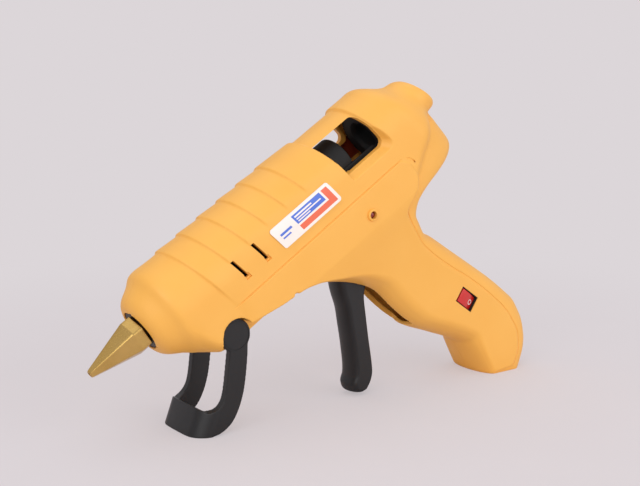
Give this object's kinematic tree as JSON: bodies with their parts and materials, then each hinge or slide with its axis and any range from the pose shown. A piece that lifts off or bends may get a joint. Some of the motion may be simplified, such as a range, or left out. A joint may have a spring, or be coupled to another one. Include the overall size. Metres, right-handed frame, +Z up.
{
  "type": "hot glue applicator",
  "caption": "Pistol-grip hot glue applicator with a brass nozzle, ribbed barrel, feed window, trigger feed, rocker switch and a folding wire-style stand, standing nose down.",
  "frame": {"origin": "on the ground, under the middle of the bounding box of the gun as it stands", "axes": "+X from the nozzle tip to the heel of the grip, +Y to the gun's right side, +Z up"},
  "size_m": [0.2422, 0.0422, 0.1469],
  "materials": {
    "amber_shell": "satin moulded",
    "black_plastic": "satin moulded",
    "brass": "turned",
    "aluminium": "die cast",
    "steel": "bright",
    "ceramic": "fired ceramic",
    "silicone": "matt",
    "red_plastic": "gloss",
    "label": "printed film",
    "cable_brown": "matt",
    "cable_blue": "matt"
  },
  "bodies": {
    "gun": {"shell_left": "amber_shell", "shell_right": "amber_shell", "nozzle": "brass", "switch_terminal_1": "brass", "switch_terminal_2": "brass", "melt_chamber": "aluminium", "heater_element": "ceramic", "heater_clamp": "steel", "sleeve_clip": "steel", "return_spring": "steel", "trigger_pin": "steel", "wire_crimp_1": "steel", "wire_crimp_2": "steel", "shell_screw_1": "steel", "shell_screw_2": "steel", "shell_screw_3": "steel", "shell_screw_4": "steel", "shell_screw_5": "steel", "shell_screw_6": "steel", "front_holder": "black_plastic", "rear_holder": "black_plastic", "stick_guide": "black_plastic", "switch_housing": "black_plastic", "silicone_sleeve": "silicone", "indicator_lens": "red_plastic", "indicator_lamp": "red_plastic", "side_label": "label", "live_wire": "cable_brown", "switched_wire": "cable_brown", "lamp_lead_1": "cable_brown", "neutral_wire": "cable_blue", "lamp_lead_2": "cable_blue"},
    "trigger": {"trigger": "black_plastic"},
    "carriage": {"feed_carriage": "black_plastic", "jaw_pin": "steel"},
    "jaw": {"grip_jaw": "steel"},
    "stand": {"stand": "black_plastic"},
    "rocker": {"switch_rocker": "red_plastic"}
  },
  "joints": [
    {"name": "trigger_hinge", "type": "hinge", "parent": "gun", "child": "trigger", "pos_m": [0.00461, 0.0003, 0.06701], "axis": [0, -1, 0], "range_deg": [0, 28], "stiffness_Nm_per_rad": 0.2, "springref_deg": -28.65},
    {"name": "carriage_slide", "type": "slide", "parent": "gun", "child": "carriage", "axis": [-0.8387, 0, -0.5446], "range_m": [0, 0.0112], "deforming": ["return_spring"]},
    {"name": "jaw_hinge", "type": "hinge", "parent": "carriage", "child": "jaw", "pos_m": [0.01009, 0.0003, 0.10264], "axis": [0, -1, 0], "range_deg": [0, 10]},
    {"name": "stand_hinge", "type": "hinge", "parent": "gun", "child": "stand", "pos_m": [-0.06117, 0.0003, 0.04253], "axis": [0, -1, 0], "range_deg": [0, 80]},
    {"name": "rocker_hinge", "type": "hinge", "parent": "gun", "child": "rocker", "pos_m": [0.07211, -0.0102, 0.04073], "axis": [-0.5706, 0, -0.8212], "range_deg": [0, 16]}
  ],
  "couplings": [
    {"joint": "carriage_slide", "follows": "trigger_hinge", "m_per_rad": 0.02246},
    {"joint": "jaw_hinge", "follows": "trigger_hinge", "ratio": 0.2857}
  ]
}
